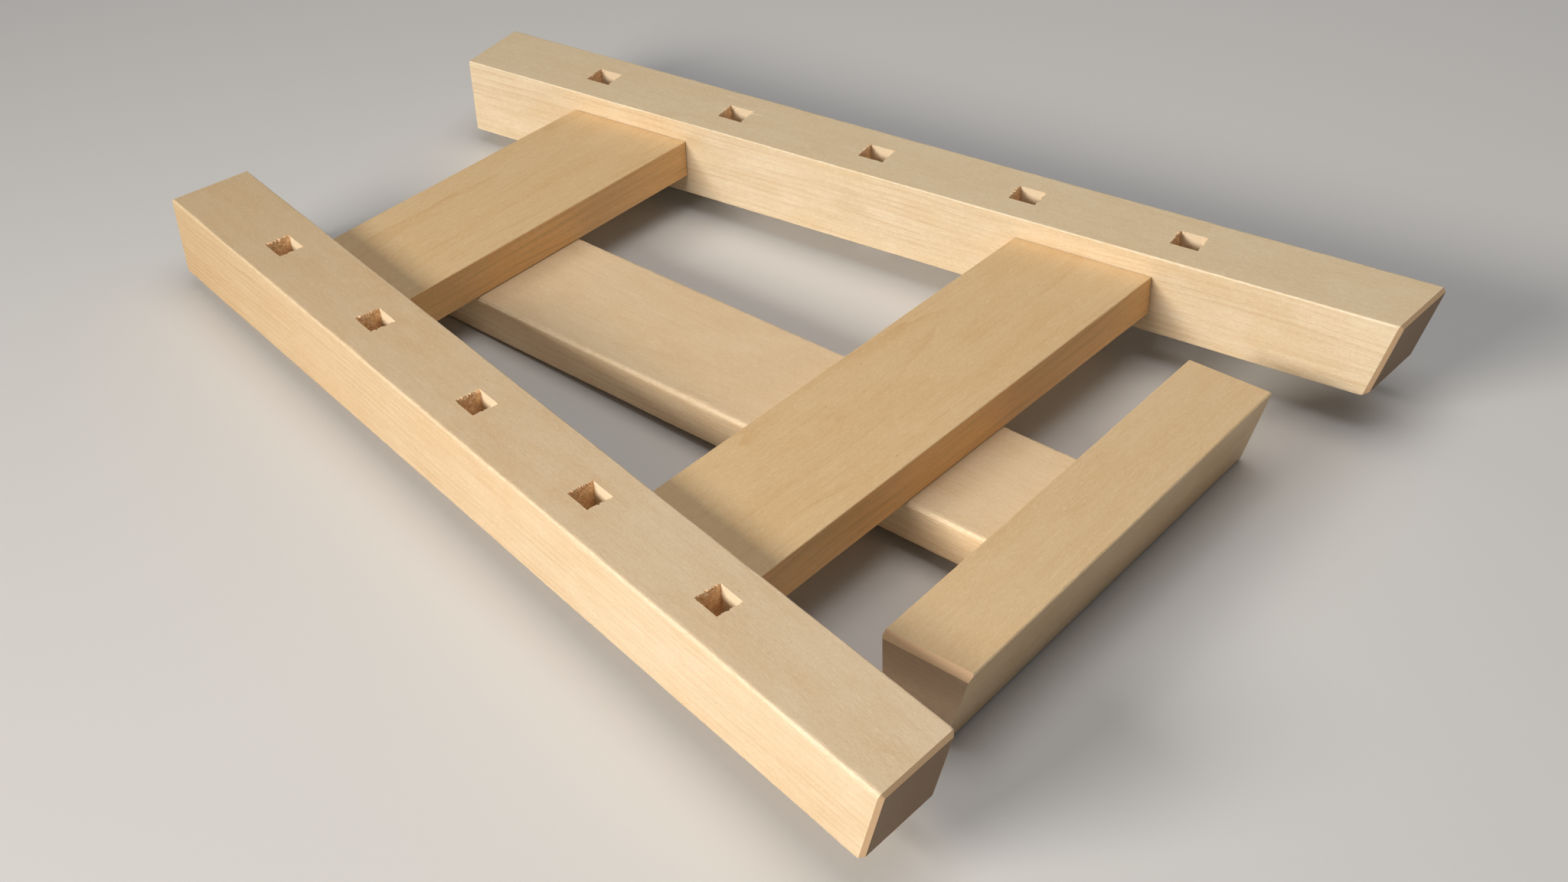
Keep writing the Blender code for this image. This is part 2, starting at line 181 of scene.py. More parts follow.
# Features of the wood: their length along the grain and their width across it.
DRIFT = (0.20, 0.045)
WANDER = (0.085, 0.014)
RING_PATCHES = (0.060, 0.010)
CLOUDS = (0.060, 0.022)
MOTTLE = (0.016, 0.009)
STRANDS = (0.045, 0.0016)
FIBRES = (0.0075, 0.00042)
FLECKS = (0.0026, 0.00080)
DASHES = (0.0014, 0.00028)
SPECKS = (0.0014, 0.00060)

# Scales of the noise that has no grain size, per metre.
FELT_SCALE = 1500.0
TORN_SCALE = 950.0
CELL_SCALES = (90.0, 3600.0, 3600.0)
RAY_SCALES = (70.0, 260.0, 900.0)

# Growth rings: usual pitch and those of two boards, pitch of the finer ones as a share of it,
# and how far noise bends them.
RING_PITCH = 0.0032
BOARD_RING_PITCH = 0.0040
STEM_RING_PITCH = 0.0036
FINER_RINGS = 0.37
DRIFT_BEND = 0.016
WANDER_BEND = 0.0055

# Strength of the rings on the sides and near the near rail's foot, and depth of the bump.
SIDE_FIGURE = 0.70
FOOT_SIDE_FIGURE = 0.50
WOOD_BUMP = 0.00012

# The near rail's painted head shade, darker and warmer where the light falls off, fades out between about these X
# of the rail. The far rail has a stain, placed in the rail's axes.
HEAD_FULL = 0.05
HEAD_NONE = 0.42
STAIN_PLACE = (0.232, -0.020, -0.018)
STAIN_CORE = 0.005
STAIN_RADIUS = 0.012

# Brass.
LEAF_BRASS = (0.72, 0.53, 0.24)
PIN_BRASS = (0.66, 0.49, 0.24)
BRASS_SPOT = (0.16, 0.10, 0.05)
TARNISH_SHADE = 0.62
TARNISH_SCALE = 420.0
SPOT_SCALE = 1800.0
DRAWN_SCALES = (9000.0, 260.0, 9000.0)
BRASS_BUMP = 0.00003

# Floor, sky and lights, in world axes.
FLOOR_SIZE = 4.0
FLOOR_COLOUR = (0.64, 0.63, 0.62)
FLOOR_ROUGHNESS = 0.6
SKY_COLOUR = (0.86, 0.92, 1.0)
SKY_STRENGTH = 0.16
KEY_PLACE = (-0.36, -1.79, 0.87)
KEY_TARGET = (0.42, 0.40, 0.0)
KEY_SIZE = (1.00, 0.50)
KEY_POWER = 9.9
KEY_COLOUR = (1.0, 0.945, 0.86)
KEY_SPREAD = math.radians(80.0)
TOP_PLACE = (0.12, 0.10, 1.55)
TOP_TARGET = (0.16, 0.0, 0.0)
TOP_SIZE = (1.0, 1.0)
TOP_POWER = 8.8
TOP_COLOUR = (1.0, 0.97, 0.93)

# Camera, in the loom's own axes.
CAMERA_PLACE = (0.80032, -0.56208, 0.51388)
CAMERA_RIGHT = (0.75093, 0.65966, -0.03088)
CAMERA_DOWN = (0.38345, -0.47363, -0.79287)
CAMERA_FORWARD = (-0.53765, 0.58355, -0.60860)
LENS = 48.88
SENSOR_WIDTH = 36.0


# ---------------------------------------------------------------- places, from the frame

def mount(name):
    """Place and direction of one of the part's mounts."""
    for entry in frame["record"]["mounts"]:
        if entry["name"] == name:
            return Vector(entry["pos_m"]), Vector(entry["axis"])
    raise KeyError(name)


def loom_matrix():
    """The frame's own axes: X from head to feet, Y across, Z out of the front face."""
    left, front = mount("left_rail_front")
    right, _ = mount("right_rail_front")
    across = (right - left).normalized()
    along = across.cross(front).normalized()
    front = along.cross(across)
    reach = (SOCKET_FIRST + SOCKET_PITCH / 2) * math.cos(SPLAY)
    origin = (left + right) / 2 - along * reach
    turn = Matrix((along, across, front)).transposed().to_4x4()
    return Matrix.Translation(origin) @ turn


def leg_matrix(front):
    """The leg's axes at rest: X along the stem, Y along the hinge."""
    joint = frame["joints"][0]
    across = Vector(joint["axis"]).normalized()
    along = across.cross(front).normalized()
    turn = Matrix((along, across, along.cross(across))).transposed().to_4x4()
    return Matrix.Translation(joint["pos_m"]) @ turn


LOOM = loom_matrix()
LEG = leg_matrix(LOOM.col[2].to_3d())
QUARTER_TURN = Matrix.Rotation(math.pi / 2, 4, "Z")


def inner_face_y(x):
    """Y of the right rail's inner face at X, in the loom's axes."""
    return HEAD_SPREAD + x * math.tan(SPLAY) - RAIL_SIZE / 2 / math.cos(SPLAY)


# ---------------------------------------------------------------- mesh helpers

def wobble(*values):
    """Smooth noise from -1 to 1."""
    padded = list(values) + [0.0] * (3 - len(values))
    return noise.noise(Vector(padded))


def finish_mesh(bm, name):
    """The mesh of bm, with its faces turned outwards."""
    bmesh.ops.recalc_face_normals(bm, faces=bm.faces)
    mesh = bpy.data.meshes.new(name)
    bm.to_mesh(mesh)
    bm.free()
    return mesh


def loft(name, rings):
    """A closed skin over rings that all have the same number of points."""
    bm = bmesh.new()
    rows = [[bm.verts.new(point) for point in ring] for ring in rings]
    count = len(rows[0])
    for first, second in zip(rows, rows[1:]):
        for i in range(count):
            j = (i + 1) % count
            bm.faces.new((first[i], first[j], second[j], second[i]))
    bm.faces.new(rows[0])
    bm.faces.new(list(reversed(rows[-1])))
    return finish_mesh(bm, name)


def block(size, matrix, name):
    """A cutter block that stands on the XY plane of matrix."""
    bm = bmesh.new()
    bmesh.ops.create_cube(bm, size=1.0)
    bmesh.ops.scale(bm, vec=size, verts=bm.verts)
    bmesh.ops.translate(bm, vec=(0.0, 0.0, size[2] / 2), verts=bm.verts)
    bmesh.ops.transform(bm, matrix=matrix, verts=bm.verts)
    return finish_mesh(bm, name)


def rounded_section(half_width, low, high, radii, inset):
    """Outline of a bar's section. Each corner is eased with a flat and two soft edges."""
    points = []
    corners = ((1, high, 0), (-1, high, 90), (-1, low, 180), (1, low, 270))
    for (side, height, turn), radius in zip(corners, radii):
        up = 1.0 if height == high else -1.0
        centre_y = side * (half_width - inset - radius)
        centre_z = height - up * (inset + radius)
        for step in ARRIS_STEPS:
            angle = math.radians(turn + step)
            points.append((centre_y + radius * math.cos(angle),
                           centre_z + radius * math.sin(angle)))
    return points


class Bar:
    """A planed bar along X with eased, slightly uneven arrises."""

    def __init__(self, half_width, low, high, easing, seed, trend=0.0):
        self.half_width = half_width
        self.low = low
        self.high = high
        self.easing = easing
        self.seed = seed
        self.trend = trend

    def radii(self, x):
        """Arris radii at x, worn a little more or less along the bar."""
        worn = []
        for corner, radius in enumerate(self.easing):
            slow = wobble(x / SLOW_WEAR_LENGTH, corner * 7.3, self.seed)
            fast = wobble(x / FAST_WEAR_LENGTH, corner * 3.1, self.seed + 5.0)
            share = 1.0 + WEAR_SHARE * slow + WEAR_SHARE * fast + self.trend * x
            worn.append(radius * max(LEAST_WEAR, share))
        return worn

    def ring(self, x_at, guide_x, shift=0.0, inset=0.0, least=0.0, share=1.0):
        """One outline, shifted along X and inset. Its radii are worn as they are at guide_x."""
        radii = [max(radius, least) * share for radius in self.radii(guide_x)]
        section = rounded_section(self.half_width, self.low, self.high, radii, inset)
        return [(x_at(y, z) + shift, y, z) for y, z in section]

    def last_rings(self, end, guide_x, easing, rounding):
        """Rings that round the corners towards the end face and chamfer its edge."""
        return [
            self.ring(end, guide_x, -easing - rounding * 0.7, 0.0, rounding * 0.6),
            self.ring(end, guide_x, -easing, 0.0, rounding),
            self.ring(end, guide_x, -easing * 0.06, easing * 0.94, rounding, 0.30),
            self.ring(end, guide_x, 0.0, easing * 1.15, rounding, 0.25),
        ]

    def mesh(self, name, start, end, start_easing, end_easing, end_rounding=0.0):
        """Rings from start to end, which are functions of (y, z) that give X."""
        low = start(0.0, self.low)
        high = end(0.0, self.high)
        count = max(2, round((high - low) / STATION))
        rings = [self.ring(start, low, 0.0, start_easing), self.ring(start, low, start_easing)]
        for i in range(1, count - 1):
            share = i / count

            def between(y, z, share=share):
                return start(y, z) * (1 - share) + end(y, z) * share

            rings.append(self.ring(between, low + (high - low) * share))
        return loft(name, rings + self.last_rings(end, high, end_easing, end_rounding))


def cut_with(item, cutters):
    """Cut the item with each mesh, in its own axes, and keep the result."""
    for number, mesh in enumerate(cutters):
        tool = bpy.data.objects.new(f"tool_{number}", mesh)
        bpy.context.scene.collection.objects.link(tool)
        modifier = item.modifiers.new("cut", "BOOLEAN")
        modifier.object = tool
        modifier.operation = "DIFFERENCE"
        modifier.solver = "EXACT"
    bpy.context.view_layer.update()
    evaluated = item.evaluated_get(bpy.context.evaluated_depsgraph_get())
    made = bpy.data.meshes.new_from_object(evaluated)
    tools = [modifier.object for modifier in item.modifiers]
    item.modifiers.clear()
    item.data = made
    for tool in tools:
        bpy.data.objects.remove(tool)


def grown_copy(node, matrix, growth):
    """A CAD node's mesh in the axes of matrix, grown outwards, as a cutter for its hole."""
    mesh = frame["nodes"][node].data.copy()
    mesh.transform(matrix.inverted())
    bm = bmesh.new()
    bm.from_mesh(mesh)
    bmesh.ops.remove_doubles(bm, verts=bm.verts, dist=0.00001)
    bmesh.ops.recalc_face_normals(bm, faces=bm.faces)
    bm.normal_update()
    moves = [(vertex, vertex.normal * growth) for vertex in bm.verts]
    for vertex, move in moves:
        vertex.co += move
    bm.to_mesh(mesh)
    bm.free()
    return mesh


def hole_cutters(pattern, numbers, matrix):
    """Cutters for the holes of the numbered dowels or screws."""
    return [grown_copy(f"{pattern}_{number}", matrix, GAP) for number in numbers]


def mark_raw(mesh):
    """A face attribute that is 1 on the rough walls of the sockets."""
    raw = mesh.attributes.new("raw", "FLOAT", "FACE")
    for face in mesh.polygons:
        x, y, _ = face.center
        nearest = round((x - SOCKET_FIRST) / SOCKET_PITCH)
        from_middle = max(abs(x - SOCKET_FIRST - nearest * SOCKET_PITCH), abs(y))
        inside = 0 <= nearest < SOCKET_COUNT and from_middle < SOCKET_HALF_REGION
        raw.data[face.index].value = float(inside and abs(face.normal.z) < WALL_STEEPEST_NORMAL)


def add_piece(node, mesh, matrix, body, slot, material, cutters):
    """Cut a piece, place it, give it its material and let it replace its CAD node."""
    item = bpy.data.objects.new(f"{node}_wood", mesh)
    bpy.context.scene.collection.objects.link(item)
    cut_with(item, cutters)
    if slot == "rail_wood":
        mark_raw(item.data)
    item.data.transform(matrix)
    item.data.materials.clear()
    item.data.materials.append(material)
    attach(item, body)
    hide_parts(node)


# ---------------------------------------------------------------- sockets

def socket_levels():
    """Depths of a socket cutter's rings, close together near both faces."""
    top = [depth * MM for depth in FINE_LEVELS]
    bottom = [RAIL_SIZE - depth * MM for depth in reversed(FINE_LEVELS)]
    return top + list(MIDDLE_LEVELS) + bottom


def cross_grain_offset(side, along, depth, seed):
    """How far back a foot (side 1) or head (side -1) wall stands, rough and torn at its rims."""
    coarse = COARSE_HEIGHT * wobble(along / 0.0021, depth / 0.0016, seed)
    fine = FINE_HEIGHT * wobble(along / 0.0007, depth / 0.0008, seed + 3.0)
    settled = min(1.0, 0.35 + depth / SETTLING_DEPTH)
    teeth = max(0.0, wobble(along / TOOTH_WIDTH, 0.5, seed + 9.0))
    teeth += SMALL_TOOTH_SHARE * max(0.0, wobble(along / SMALL_TOOTH_WIDTH, 2.5, seed + 19.0))
    patch = min(1.10, max(0.35, 0.75 + 1.3 * wobble(along / PATCH_WIDTH, 1.5, seed + 14.0)))
    front = math.exp(-depth / FRONT_TEAR_DEPTH)
    corner = 1.0 - min(1.0, abs(along) / (SOCKET_ACROSS / 2)) ** 8
    if side < 0:
        tear = min(HEAD_TEAR_LIMIT, HEAD_TEAR * patch * teeth) * front * corner
    else:
        tear = FOOT_TEAR * (min(0.6, teeth) - 0.25) * front * corner
    back_tear = BACK_TEAR * teeth * math.exp(-(RAIL_SIZE - depth) / BACK_TEAR_DEPTH)
    return ((coarse + fine) * settled + tear + back_tear) * MM


def long_grain_offset(along, depth, seed):
    """How far back a side wall stands: smooth, and ragged near its corners at the front."""
    smooth = 0.07 * wobble(along / 0.004, depth / 0.008, seed)
    ragged = max(0.0, abs(along) / (SOCKET_ALONG / 2) - 0.40)
    torn = RAGGED_HEIGHT * ragged * wobble(along / 0.0008, depth / 0.0010, seed + 4.0)
    return (smooth + max(-0.2, torn) * math.exp(-depth / RAGGED_DEPTH)) * MM


def socket_ring(centre_x, height, depth, seed):
    """One ring of a socket's cutter, round its four walls in turn."""
    half_x = SOCKET_ALONG / 2
    half_y = SOCKET_ACROSS / 2
    ring = []
    for wall, (across_grain, side) in enumerate(SOCKET_WALLS):
        wall_seed = seed + 11.0 * wall
        for step in range(WALL_POINTS):
            share = side * (2.0 * step / WALL_POINTS - 1.0)
            if across_grain:
                along = half_y * share
                offset = cross_grain_offset(side, along, depth, wall_seed)
                ring.append((centre_x + side * half_x + side * offset, along, height))
            else:
                along = -half_x * share
                offset = long_grain_offset(along, depth, wall_seed)
                ring.append((centre_x + along, side * half_y + side * offset, height))
    return ring


def socket_cutter(name, centre_x, seed):
    """A square peg hole as a chisel and torn grain leave it."""
    inside = [(-depth, depth) for depth in socket_levels()]
    depths = [(MM, 0.0)] + inside + [(-RAIL_SIZE - MM, RAIL_SIZE)]
    return loft(name, [socket_ring(centre_x, height, depth, seed) for height, depth in depths])


def crack_cutter(name, start, length, seed):
    """A thin split that runs from a socket's corner along the grain."""
    rings = []
    for step in range(CRACK_STEPS + 1):
        share = step / CRACK_STEPS
        width = CRACK_HALF_WIDTH * (1 - share) ** 0.7 + 0.00002
        depth = CRACK_DEPTH * (1 - share) + 0.0001
        x = start[0] + length * share
        y = start[1] + 0.00035 * wobble(share * 3.0, seed) + 0.0006 * share
        rings.append([(x, y - width, CRACK_OVERLAP), (x, y + width, CRACK_OVERLAP),
                      (x, y, -depth)])
    return loft(name, rings)


# ---------------------------------------------------------------- shader helpers

def scaled(colour, factor):
    return tuple(channel * factor for channel in colour)


def opaque(colour):
    return (*colour, 1.0)


class Graph:
    """Short calls that build one material's nodes."""

    def __init__(self, name):
        self.material = bpy.data.materials.new(name)
        self.material.use_nodes = True
        tree = self.material.node_tree
        self.nodes = tree.nodes
        self.links = tree.links
        self.shader = tree.nodes["Principled BSDF"]

    def add(self, kind, **settings):
        node = self.nodes.new(kind)
        for key, value in settings.items():
            setattr(node, key, value)
        return node

    def feed(self, socket, value):
        """Link the socket to another one, or set its value."""
        if isinstance(value, bpy.types.NodeSocket):
            self.links.new(value, socket)
        else:
            socket.default_value = value

    def shade(self, name, value):
        """Feed one of the shader's inputs."""
        self.feed(self.shader.inputs[name], value)

    def math(self, operation, first, second=0.0):
        node = self.add("ShaderNodeMath", operation=operation)
        self.feed(node.inputs[0], first)
        self.feed(node.inputs[1], second)
        return node.outputs[0]

    def vector(self, operation, first, second):
        node = self.add("ShaderNodeVectorMath", operation=operation)
        self.feed(node.inputs[0], first)
        self.feed(node.inputs[1], second)
        return node.outputs["Value" if operation in ("DOT_PRODUCT", "LENGTH") else "Vector"]

    def noise(self, vector, scale, detail=2.0, roughness=0.5):
        node = self.add("ShaderNodeTexNoise")
        self.feed(node.inputs["Vector"], vector)
        self.feed(node.inputs["Scale"], scale)
        self.feed(node.inputs["Detail"], detail)
        self.feed(node.inputs["Roughness"], roughness)
        return node.outputs[0]

    def span(self, value, low, high, to_low=0.0, to_high=1.0):
        """Map low..high to to_low..to_high, held at both ends."""
        node = self.add("ShaderNodeMapRange")
        for index, entry in enumerate((value, low, high, to_low, to_high)):
            self.feed(node.inputs[index], entry)
        return node.outputs[0]

    def mix(self, factor, first, second, blend="MIX"):
        node = self.add("ShaderNodeMix", data_type="RGBA", blend_type=blend)
        self.feed(node.inputs[0], factor)
        self.feed(node.inputs[6], first)
        self.feed(node.inputs[7], second)
        return node.outputs[2]

    def local_axes(self, matrix):
        """Object coordinates turned into the axes of matrix, and the object's normal."""
        mapping = self.add("ShaderNodeMapping", vector_type="TEXTURE")
        mapping.inputs["Location"].default_value = matrix.translation
        mapping.inputs["Rotation"].default_value = matrix.to_euler()
        source = self.add("ShaderNodeTexCoord")
        self.links.new(source.outputs["Object"], mapping.inputs["Vector"])
        return mapping.outputs[0], source.outputs["Normal"]

    def bump(self, height, strength, distance):
        node = self.add("ShaderNodeBump")
        node.inputs["Strength"].default_value = strength
        node.inputs["Distance"].default_value = distance
        self.feed(node.inputs["Height"], height)
        return node.outputs[0]


# ---------------------------------------------------------------- wood and brass

class Wood(Graph):
    """Pale fine-grained hardwood. X of matrix runs along the grain, pith is a (y, z) point."""

    def __init__(self, name, matrix, pith, seed, ring_pitch=RING_PITCH, tint=PLAIN_TINT):
        super().__init__(name)
        self.tint = tint
        self.place, normal = self.local_axes(matrix)
        self.shifted = self.vector("ADD", self.place, (seed * 0.37, seed * 0.11, seed * 0.23))
        self.read_directions(matrix, normal)
        self.make_layers()
        self.make_rings(pith, ring_pitch)

    def read_directions(self, matrix, normal):
        """How far each face looks along the grain, across it and up."""
        axes = [tuple(matrix.col[i].to_3d().normalized()) for i in range(3)]
        signed = [self.vector("DOT_PRODUCT", normal, axis) for axis in axes]
        self.along, self.across, self.up = [self.math("ABSOLUTE", value) for value in signed]
        self.to_foot = self.span(signed[0], -0.5, 0.5)
        self.tops = self.span(self.up, 0.30, 0.60)

    def grain(self, size, detail=2.0, roughness=0.5):
        """Noise whose features have this length along the grain and this width across it."""
        length, width = size
        stretch = (1.0 / length, 1.0 / width, 1.0 / width)
        stretched = self.vector("MULTIPLY", self.shifted, stretch)
        return self.noise(stretched, 1.0, detail, roughness)

    def make_layers(self):
        self.cloud = self.grain(CLOUDS, 3.0)
        self.mottle = self.grain(MOTTLE)
        self.strands = self.grain(STRANDS)
        self.fibres = self.grain(FIBRES, 3.0, 0.6)
        self.flecks = self.grain(FLECKS)
        self.dashes = self.grain(DASHES, 1.0)
        self.specks = self.grain(SPECKS, 1.0)
        self.felt = self.noise(self.shifted, FELT_SCALE)
        self.torn = self.noise(self.shifted, TORN_SCALE, 4.0, 0.65)
        self.raw = self.add("ShaderNodeAttribute", attribute_name="raw").outputs["Fac"]

    def make_rings(self, pith, pitch):
        """Late wood of the growth rings round the pith, bent by slow noise."""
        from_pith = self.vector("SUBTRACT", self.place, (0.0, *pith))
        from_pith = self.vector("MULTIPLY", from_pith, (0.0, 1.0, 1.0))
        bent = self.vector("LENGTH", from_pith, (0.0, 0.0, 0.0))
        for size, bend in ((DRIFT, DRIFT_BEND), (WANDER, WANDER_BEND)):
            bent = self.math("ADD", bent, self.math("MULTIPLY", self.grain(size), bend))
        first = self.math("FRACT", self.math("DIVIDE", bent, pitch))
        second = self.math("FRACT", self.math("DIVIDE", bent, pitch * FINER_RINGS))
        finer = self.math("MULTIPLY", self.math("POWER", second, 3.0), 0.30)
        self.late = self.math("ADD", self.math("POWER", first, 5.0), finer)
        patches = self.span(self.grain(RING_PATCHES), 0.36, 0.66)
        self.rings = self.math("MULTIPLY", self.late, patches)

    def tinted(self, colour):
        return opaque(channel * share for channel, share in zip(colour, self.tint))

    def near_head(self):
        """1 at the head of the piece, 0 near its foot, with a cloudy border."""
        reach = self.vector("DOT_PRODUCT", self.place, (1.0, 0.0, 0.0))
        reach = self.math("ADD", reach, self.math("MULTIPLY", self.cloud, 0.12))
        return self.span(reach, HEAD_FULL, HEAD_NONE, 1.0, 0.0)

    def ground(self, bounce_share, top_share, top_tone):
        """Clouds of pale and warm wood, toned on the top, with painted warm bounce light on the narrow sides."""
        tone = self.mix(self.span(self.cloud, 0.32, 0.68), self.tinted(PALE), self.tinted(WARM))
        tone = self.mix(self.span(self.mottle, 0.45, 0.70, 0.0, 0.30), tone, self.tinted(LIGHT))
        tone = self.mix(self.span(self.up, 0.5, 0.9, 0.0, top_share), tone, self.tinted(top_tone))
        # Painted warm bounce light on the narrow sides.
        return self.mix(self.span(self.across, 0.5, 0.9, 0.0, bounce_share), tone, opaque(PAINTED_BOUNCE))

    def stained(self, tone, place):
        """A darker spot with a mottled border."""
        away = self.vector("SUBTRACT", self.place, place)
        away = self.vector("LENGTH", away, (0.0, 0.0, 0.0))
        border = self.math("MULTIPLY", self.math("SUBTRACT", self.mottle, 0.5), 0.012)
        share = self.span(self.math("ADD", away, border), STAIN_CORE, STAIN_RADIUS, 0.30, 0.0)
        return self.mix(share, tone, self.tinted(STREAK))

    def grained(self, tone, side_figure, figure):
        """Rings, strands, fibres and small marks."""
        shown = self.span(self.tops, 0.0, 1.0, side_figure, figure)
        tone = self.mix(self.math("MULTIPLY", self.rings, shown), tone, self.tinted(STREAK))
        strong = self.span(self.tops, 0.0, 1.0, 0.34, 0.18)
        marks = (
            (self.strands, 0.44, 0.74, strong, self.tinted(STREAK)),
            (self.fibres, 0.48, 0.76, 0.17, self.tinted(DEEP)),
            (self.dashes, 0.54, 0.74, 0.20, self.tinted(DEEP)),
            (self.felt, 0.50, 0.72, 0.16, self.tinted(DEEP)),
            (self.flecks, 0.54, 0.70, 0.26, self.tinted(LIGHT)),
            (self.specks, 0.775, 0.82, 0.75, opaque(SPECK)),
        )
        for layer, low, high, strength, colour in marks:
            tone = self.mix(self.span(layer, low, high, 0.0, strength), tone, colour)
        return tone

    def worn(self, tone):
        """Lighter wood on the arrises: partly wear, partly a painted highlight where they catch the light."""
        arris = self.math("MULTIPLY", self.math("MULTIPLY", self.across, self.up), 2.0)
        patches = self.span(self.flecks, 0.35, 0.6, 0.30, 0.95)
        share = self.math("MULTIPLY", self.span(arris, 0.25, 0.9), patches)
        # Partly wear, partly a painted highlight on the arrises.
        return self.mix(self.math("MULTIPLY", share, 0.55), tone, self.tinted(LIGHT))

    def with_head_shade(self, tone, near_head, tint):
        """Painted shade towards the head, where the light falls off, with a warmer tone; a little weaker on the
        top.
        """
        weaker = self.math("MULTIPLY", near_head, self.span(self.tops, 0.0, 1.0, 1.0, 0.7))
        return self.mix(weaker, tone, opaque(tint), "MULTIPLY")

    def with_ends(self, tone, end):
        """Chamfers and end grain, with its cells, rays and rings. end is the tone at +X."""
        cells = self.noise(self.vector("MULTIPLY", self.shifted, CELL_SCALES), 1.0)
        rays = self.noise(self.vector("MULTIPLY", self.shifted, RAY_SCALES), 1.0)
        # On the rails the +X tone is darker end grain with painted shade on the feet.
        pale = self.mix(self.to_foot, opaque(BAR_END), opaque(end))
        dark_tones = [opaque(scaled(colour, END_GRAIN_SHADE)) for colour in (BAR_END, end)]
        dark = self.mix(self.to_foot, *dark_tones)
        cut = self.mix(self.span(cells, 0.38, 0.66), pale, dark)
        cut = self.mix(self.span(rays, 0.45, 0.75, 0.0, 0.4), cut, dark)
        cut = self.mix(self.math("MULTIPLY", self.late, 0.35), cut, dark)
        tone = self.mix(self.span(self.along, 0.30, 0.60), tone, opaque(CHAMFER))
        return self.mix(self.span(self.along, 0.87, 0.94), tone, cut)

    def with_raw_walls(self, tone):
        """Fresh and torn wood on the walls of the sockets."""
        fresh = self.mix(self.span(self.torn, 0.44, 0.66), opaque(FRESH), opaque(TORN))
        fresh = self.mix(self.span(self.along, 0.2, 0.6), opaque(LIGHT), fresh)
        return self.mix(self.raw, tone, fresh)

    def finish(self, tone):
        """Colour, roughness, sheen and bump."""
        self.shade("Base Color", tone)
        fine = self.span(self.fibres, 0.3, 0.7, 0.38, 0.50)
        rough = self.math("ADD", fine, self.span(self.cloud, 0.3, 0.7, -0.04, 0.04))
        rough = self.math("ADD", rough, self.math("MULTIPLY", self.raw, 0.25))
        self.shade("Roughness", rough)
        self.shade("Specular IOR Level", self.span(self.along, 0.6, 0.9, 0.42, 0.12))
        height = self.math("MULTIPLY", self.fibres, 0.7)
        height = self.math("ADD", height, self.math("MULTIPLY", self.flecks, 0.4))
        height = self.math("SUBTRACT", height, self.span(self.dashes, 0.56, 0.74, 0.0, 0.5))
        walls = self.math("MULTIPLY", self.math("MULTIPLY", self.torn, self.raw), 3.0)
        height = self.math("ADD", height, walls)
        self.shade("Normal", self.bump(height, 0.55, WOOD_BUMP))
        return self.material


def dress_wood(wood, bounce_share=0.0, end=BAR_END, figure=0.28, top_share=0.45, top_tone=GREY,
               head_shade=None, stain=None):
    """Finish a wood.

    bounce_share paints a warm bounce light on the narrow sides, end is the tone of the end grain at +X (on the
    rails it also holds painted shade on the feet), figure is the strength of the rings on the top, top_tone shows
    there by top_share, head_shade paints shade with a warmer tone towards the end at -X and stain is the place of
    a darker spot.
    """
    side_figure = SIDE_FIGURE
    if head_shade:
        near_head = wood.near_head()
        side_figure = wood.span(near_head, 0.0, 1.0, FOOT_SIDE_FIGURE, 1.0)
    tone = wood.ground(bounce_share, top_share, top_tone)
    if stain:
        tone = wood.stained(tone, stain)
    tone = wood.grained(tone, side_figure, figure)
    tone = wood.worn(tone)
    # Painted shade towards the head, with a warmer tone.
    if head_shade:
        tone = wood.with_head_shade(tone, near_head, head_shade)
    tone = wood.with_ends(tone, end)
    return wood.finish(wood.with_raw_walls(tone))


def rail_wood(name, matrix, side, seed):
    """The near rail is darker and warmer towards its head, painted shade where the light falls off with a warmer
    tone. The far one is painted paler, a painted highlight of its brightly lit sides, and has a stain. The feet of
    both have dark end grain with painted shade over it.
    """
    pith = (0.004 * side, -0.115)
    if side < 0:
        wood = Wood(name, matrix, pith, seed, tint=NEAR_TINT)
        return dress_wood(wood, end=SHADED_RAIL_FOOT, top_share=0.28, head_shade=HEAD_SHADE_TINT)
    # Painted highlight: the far rail is tinted paler, and its top tone takes most of that back on the top.
    wood = Wood(name, matrix, pith, seed, tint=FAR_HIGHLIGHT_TINT)
    return dress_wood(wood, end=SHADED_RAIL_FOOT, top_share=0.60, top_tone=FAR_TOP_OUTSIDE_HIGHLIGHT, stain=STAIN_PLACE)


def board_wood(name, matrix, seed):
    """Wider rings, a stronger figure and painted warm bounce light on the narrow sides."""
    wood = Wood(name, matrix, (0.02, -0.060), seed, BOARD_RING_PITCH, BOARD_TINT)
    return dress_wood(wood, bounce_share=0.85, figure=0.45)


def stem_wood(name, matrix, seed):
    return dress_wood(Wood(name, matrix, (-0.01, -0.080), seed, STEM_RING_PITCH, STEM_TINT))


def foot_bar_wood(name, matrix, seed):
    return dress_wood(Wood(name, matrix, (0.012, -0.090), seed, tint=BAR_TINT))


def dowel_wood(name, matrix, seed):
    return dress_wood(Wood(name, matrix, (0.02, 0.03), seed))


def brass_material(name, tone, matrix):
    """Dull rolled brass with fine drawn lines and a little tarnish."""
    g = Graph(name)
    place, _ = g.local_axes(matrix)
    lines = g.noise(g.vector("MULTIPLY", place, DRAWN_SCALES), 1.0)
    tarnish = g.noise(place, TARNISH_SCALE, 4.0, 0.6)
    spots = g.noise(place, SPOT_SCALE)
    dull = opaque(scaled(tone, TARNISH_SHADE))
    colour = g.mix(g.span(tarnish, 0.42, 0.72), opaque(tone), dull)
    colour = g.mix(g.span(spots, 0.62, 0.75, 0.0, 0.5), colour, opaque(BRASS_SPOT))
    g.shade("Base Color", colour)
    rough = g.span(lines, 0.3, 0.7, 0.24, 0.40)
    g.shade("Roughness", g.math("ADD", rough, g.span(tarnish, 0.4, 0.7, 0.0, 0.16)))
    g.shade("Metallic", 1.0)
    g.shade("Normal", g.bump(lines, 0.25, BRASS_BUMP))
    return g.material


# ---------------------------------------------------------------- wooden pieces

